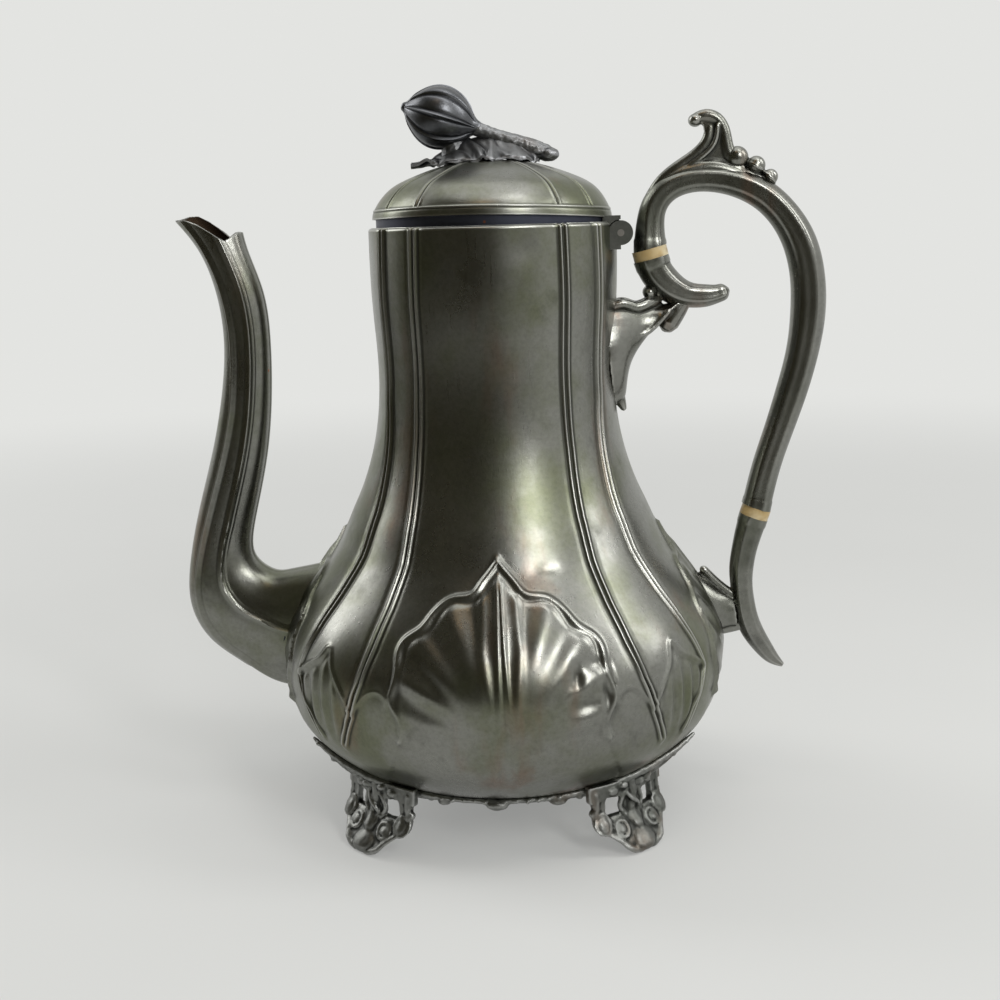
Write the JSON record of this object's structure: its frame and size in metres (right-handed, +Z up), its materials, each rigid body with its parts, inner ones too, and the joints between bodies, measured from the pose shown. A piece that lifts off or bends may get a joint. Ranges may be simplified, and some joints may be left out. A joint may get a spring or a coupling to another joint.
{
  "type": "hot water pot",
  "caption": "Pear-shaped metal hot water pot with a hinged dome lid, swan-neck spout, scrolled handle on two insulators and openwork feet.",
  "frame": {"origin": "on the vessel's axis at table level, midway between the spout's outermost point and the handle's", "axes": "+Z up, +X from the spout towards the handle, -Y the side shown in the picture"},
  "size_m": [0.2348, 0.1664, 0.2624],
  "materials": {
    "pewter": "dark patinated satin pewter",
    "cast_pewter": "duller grey cast pewter",
    "dark_pewter": "blue-black patinated pewter",
    "iron": "plain drawn wire and turned metal",
    "bone": "polished yellowed bone"
  },
  "bodies": {
    "pot": {"body_front_half": "pewter", "body_back_half": "pewter", "base_plate": "pewter", "mouth_ring": "pewter", "foot_band": "cast_pewter", "foot_front_left": "cast_pewter", "foot_front_right": "cast_pewter", "foot_back_left": "cast_pewter", "foot_back_right": "cast_pewter", "spout_front_half": "pewter", "spout_back_half": "pewter", "spout_strainer": "pewter", "handle_bracket_upper": "pewter", "handle_socket_upper": "pewter", "handle_grip": "pewter", "thumb_scroll": "pewter", "thumb_berries": "pewter", "handle_socket_lower": "pewter", "handle_bracket_lower": "pewter", "hinge_body_leaf": "cast_pewter", "tenon_upper": "iron", "tenon_lower": "iron", "hinge_pin": "iron", "insulator_upper": "bone", "insulator_lower": "bone"},
    "lid": {"lid_dome": "pewter", "lid_bezel": "pewter", "hinge_lid_leaf": "cast_pewter", "finial_leaf": "dark_pewter", "finial_fruit": "dark_pewter", "finial_stem": "dark_pewter", "finial_stud": "iron", "finial_washer": "iron", "finial_nut": "iron"}
  },
  "joints": [
    {"name": "lid_hinge", "type": "hinge", "parent": "pot", "child": "lid", "pos_m": [0.0446, 0, 0.2101], "axis": [0, 1, 0], "range_deg": [0, 56]}
  ]
}
